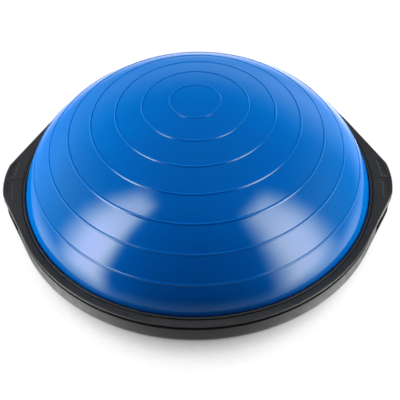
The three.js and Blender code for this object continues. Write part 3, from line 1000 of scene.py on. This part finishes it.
def make_floor():
    """One pale plane, big enough for any view."""
    bm = bmesh.new()
    corners = ((-1, -1), (1, -1), (1, 1), (-1, 1))
    bm.faces.new([bm.verts.new((x * FLOOR_HALF, y * FLOOR_HALF, 0)) for x, y in corners])
    floor = finish_mesh(bm, "floor")
    floor.data.materials.append(floor_material())
    floor.visible_glossy = False
    floor.visible_diffuse = False


def make_world():
    """A soft studio all round. Angles are in degrees: turn 0 is +Y and 90 is +X. What the gloss mirrors is
    a pale backdrop low at the back, two tall soft boxes and a pale floor; matt surfaces are lit by wide
    glows from the sides and from above."""
    world = bpy.data.worlds.new("studio")
    bpy.context.scene.world = world
    world.use_nodes = True
    nodes = Nodes(world.node_tree)
    direction = nodes.add("ShaderNodeTexCoord").outputs["Generated"]
    split = nodes.add("ShaderNodeSeparateXYZ")
    nodes.set(split.inputs[0], direction)
    x, y, z = split.outputs
    to_degrees = 180 / math.pi
    rise = nodes.math("MULTIPLY", nodes.math("ARCSINE", z), to_degrees)
    turn = nodes.math("MULTIPLY", nodes.math("ARCTAN2", x, y), to_degrees)

    def product(first, *others):
        for other in others:
            first = nodes.math("MULTIPLY", first, other)
        return first

    def total_of(first, *others):
        for other in others:
            first = nodes.math("ADD", first, other)
        return first

    def soft_box(edge, soft_edge, plateau, faded, top, strength):
        """A tall light with a crisp side at edge, full strength to plateau and gone by faded."""
        start = nodes.ramp(turn, edge, soft_edge)
        fade = nodes.ramp(turn, faded, plateau)
        above = nodes.ramp(rise, top + 6, top - 6)
        dimmer_above = nodes.ramp(rise, 25, 65, 1.0, 0.6)
        below = nodes.ramp(rise, -30, -5)
        return product(start, fade, above, dimmer_above, below, strength)

    def glow(turn_to, rise_to, spread, strength):
        """A soft light centred on one direction; spread is the cosine of the angle where it ends."""
        a, e = math.radians(turn_to), math.radians(rise_to)
        dot = nodes.add("ShaderNodeVectorMath", operation="DOT_PRODUCT")
        nodes.set(dot.inputs[0], direction)
        nodes.set(dot.inputs[1], (math.sin(a) * math.cos(e), math.cos(a) * math.cos(e), math.sin(e)))
        return nodes.ramp(dot.outputs["Value"], spread, 1.0, 0.0, strength)

    brighter_right = nodes.ramp(turn, -40, 60, 0.33, 1.0)
    backdrop_sides = product(nodes.ramp(turn, -95, -45), nodes.ramp(turn, 62, 24))
    backdrop = product(backdrop_sides, nodes.ramp(rise, 38, 0), brighter_right, BACKDROP)
    left = soft_box(-131, -119, -110, -86, 64, LEFT_BOX)
    right = soft_box(141, 118, 110, 86, 58, RIGHT_BOX)
    off_back = nodes.math("ABSOLUTE", turn)
    floor_behind = product(nodes.ramp(off_back, 80, 45), brighter_right, FLOOR_BEHIND)
    sides_to_front = nodes.ramp(off_back, 150, 78, FLOOR_FRONT, FLOOR_SIDES)
    floor_before = product(nodes.ramp(off_back, 45, 80), sides_to_front)
    floor_light = product(nodes.ramp(rise, -4, -28), nodes.math("ADD", floor_behind, floor_before))
    mirrored = total_of(left, right, backdrop, floor_light, DARK_ROOM)
    glows = total_of(
        glow(-82, 8, 0.72, LEFT_GLOW),
        glow(80, 5, 0.72, RIGHT_GLOW),
        glow(0, 60, 0.5, TOP_GLOW),
        ROOM_FILL,
    )
    lighting = product(glows, nodes.ramp(y, -0.7, 0.5, FRONT_LEVEL, BACK_LEVEL))
    path = nodes.add("ShaderNodeLightPath")
    seen = nodes.mix_colour(path.outputs["Is Glossy Ray"], lighting, mirrored)
    seen = nodes.mix_colour(path.outputs["Is Camera Ray"], seen, FAR_WHITE)
    background = nodes.add("ShaderNodeBackground")
    nodes.set(background.inputs["Color"], seen)
    output = nodes.add("ShaderNodeOutputWorld")
    nodes.set(output.inputs["Surface"], background.outputs[0])
    world.cycles.sampling_method = "NONE"


def make_camera():
    """Looks down at the dome from the front, as a person standing before it would."""
    sideways, forwards = math.sin(CAMERA_TURN), math.cos(CAMERA_TURN)
    level, up = math.cos(CAMERA_RISE), math.sin(CAMERA_RISE)
    aim = Vector((0, 0, CAMERA_AIM_Z))
    place = aim + Vector((sideways * level, -forwards * level, up)) * CAMERA_DISTANCE
    look = aim + Vector((forwards, sideways, 0)) * CAMERA_AIM_RIGHT - place
    towards = look.to_track_quat("-Z", "Y").to_matrix().to_4x4()
    camera = bpy.data.objects.new("camera", bpy.data.cameras.new("camera"))
    camera.data.lens = CAMERA_LENS
    camera.data.sensor_width = CAMERA_SENSOR
    camera.matrix_world = Matrix.Translation(place) @ towards @ Matrix.Rotation(CAMERA_LEAN, 4, "Z")
    bpy.context.scene.collection.objects.link(camera)
    bpy.context.scene.camera = camera


def develop():
    """Shows the picture with a plain transform and a contrast curve like a studio camera's."""
    view = bpy.context.scene.view_settings
    view.view_transform = "Standard"
    view.use_curve_mapping = True
    curve = view.curve_mapping.curves[3]  # the one for all three colours together
    for scene_value, shown in TONE_CURVE:
        curve.points.new(scene_value, shown)
    view.curve_mapping.update()


# ---------------------------------------------------------------- the whole scene

black_base = moulded_plastic("base_plastic", BASE_BLACK, 0.46, 0.12)
black_ring = moulded_plastic("ring_plastic", RING_BLACK, 0.42, 0.10)
make_dome()
make_plug()
make_half_ring("clamp_half_rear", 0.0, "rear_clamp_ring", black_ring)
make_half_ring("clamp_half_front", math.pi, "front_clamp_ring", black_ring)
make_platform(black_base)
make_screws(steel_material())
make_feet(rubber_material())
make_floor()
make_world()
make_camera()
develop()
